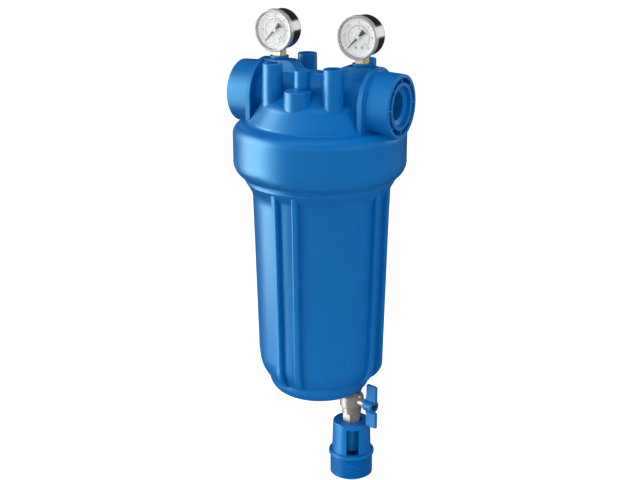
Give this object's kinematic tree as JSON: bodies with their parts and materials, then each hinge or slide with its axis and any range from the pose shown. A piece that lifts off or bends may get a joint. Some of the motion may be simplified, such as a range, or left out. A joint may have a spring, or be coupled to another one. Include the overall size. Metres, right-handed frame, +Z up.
{
  "type": "cartridge filter housing",
  "caption": "Screw-bowl cartridge filter housing with side pipe ports, dial gauges on the head, an air vent, and a ball-valve drain with air-gap funnel.",
  "frame": {"origin": "centre of the bracket boss pattern, on the boss tops; the port axis is 39.5 mm below and crosses the bowl axis", "axes": "+X out of the outlet port, -Y front that the gauge dials face, +Z up along the bowl axis"},
  "size_m": [0.192, 0.186, 0.5201],
  "materials": {
    "blue_polypropylene": "satin moulded polypropylene",
    "blue_nylon": "satin moulded nylon",
    "seal_rubber": "black nitrile rubber",
    "filter_media": "pleated polyester sheet",
    "white_plastic": "moulded",
    "brass": "machined",
    "black_enamel": "gloss black",
    "smoked_plastic": "clear grey snap ring",
    "clear_window": "clear",
    "white_enamel": "matt white",
    "black_pointer": "matt black",
    "steel": "turned",
    "nickel_plate": "satin nickel plate on brass",
    "chrome_ball": "polished",
    "seat_polymer": "fluoropolymer"
  },
  "bodies": {
    "housing": {"head": "blue_polypropylene", "inlet_gauge_socket": "brass", "inlet_gauge_case": "black_enamel", "inlet_gauge_bezel": "smoked_plastic", "inlet_gauge_window": "clear_window", "inlet_gauge_dial": "white_enamel", "inlet_gauge_dial_screws": "steel", "inlet_gauge_movement_frame": "brass", "inlet_gauge_bourdon_tube": "brass", "outlet_gauge_socket": "brass", "outlet_gauge_case": "black_enamel", "outlet_gauge_bezel": "smoked_plastic", "outlet_gauge_window": "clear_window", "outlet_gauge_dial": "white_enamel", "outlet_gauge_dial_screws": "steel", "outlet_gauge_movement_frame": "brass", "outlet_gauge_bourdon_tube": "brass"},
    "bowl_seal": {"bowl_oring": "seal_rubber"},
    "bowl": {"bowl": "blue_polypropylene", "cartridge_media": "filter_media", "cartridge_core": "white_plastic", "cartridge_top_cap": "white_plastic", "cartridge_bottom_cap": "white_plastic", "cartridge_top_gasket": "seal_rubber", "cartridge_bottom_gasket": "seal_rubber", "drain_seal": "seal_rubber", "valve_body": "nickel_plate", "valve_end": "nickel_plate", "valve_seats": "seat_polymer", "drain_adapter": "blue_polypropylene"},
    "drain_tap": {"valve_ball": "chrome_ball", "valve_stem": "steel", "valve_stem_orings": "seal_rubber", "valve_handle": "blue_nylon", "valve_handle_screw": "steel"},
    "vent_seal": {"vent_oring": "seal_rubber"},
    "vent": {"vent_screw": "blue_polypropylene"},
    "inlet_needle": {"inlet_gauge_pointer": "black_pointer", "inlet_gauge_pinion_arbor": "brass"},
    "inlet_sector": {"inlet_gauge_sector_gear": "brass"},
    "outlet_needle": {"outlet_gauge_pointer": "black_pointer", "outlet_gauge_pinion_arbor": "brass"},
    "outlet_sector": {"outlet_gauge_sector_gear": "brass"}
  },
  "joints": [
    {"name": "bowl_drop", "type": "slide", "parent": "housing", "child": "bowl_seal", "axis": [0, 0, -1], "range_m": [0, 0.0201]},
    {"name": "bowl_turn", "type": "hinge", "parent": "bowl_seal", "child": "bowl", "pos_m": [0, 0, -0.1095], "axis": [0, 0, -1], "range_deg": [0, 900]},
    {"name": "drain_tap_turn", "type": "hinge", "parent": "bowl", "child": "drain_tap", "pos_m": [0.041, 0, -0.3777], "axis": [0.9563, -0.2924, 0], "range_deg": [0, 90]},
    {"name": "vent_rise", "type": "slide", "parent": "housing", "child": "vent_seal", "axis": [0, 0, 1], "range_m": [0, 0.0038]},
    {"name": "vent_turn", "type": "hinge", "parent": "vent_seal", "child": "vent", "pos_m": [0, -0.0382, -0.0241], "axis": [0, 0, 1], "range_deg": [0, 1080]},
    {"name": "inlet_sector_turn", "type": "hinge", "parent": "housing", "child": "inlet_sector", "pos_m": [-0.0355, 0, 0.029], "axis": [0, 1, 0], "range_deg": [-45, 0]},
    {"name": "inlet_needle_turn", "type": "hinge", "parent": "housing", "child": "inlet_needle", "pos_m": [-0.0495, 0, 0.029], "axis": [0, 1, 0], "range_deg": [0, 270]},
    {"name": "outlet_sector_turn", "type": "hinge", "parent": "housing", "child": "outlet_sector", "pos_m": [0.0635, 0, 0.029], "axis": [0, 1, 0], "range_deg": [-45, 0]},
    {"name": "outlet_needle_turn", "type": "hinge", "parent": "housing", "child": "outlet_needle", "pos_m": [0.0495, 0, 0.029], "axis": [0, 1, 0], "range_deg": [0, 270]}
  ],
  "couplings": [
    {"joint": "bowl_drop", "follows": "bowl_turn", "m_per_rad": 0.0012732},
    {"joint": "vent_rise", "follows": "vent_turn", "m_per_rad": 0.00019894},
    {"joint": "inlet_needle_turn", "follows": "inlet_sector_turn", "ratio": -6},
    {"joint": "outlet_needle_turn", "follows": "outlet_sector_turn", "ratio": -6}
  ]
}
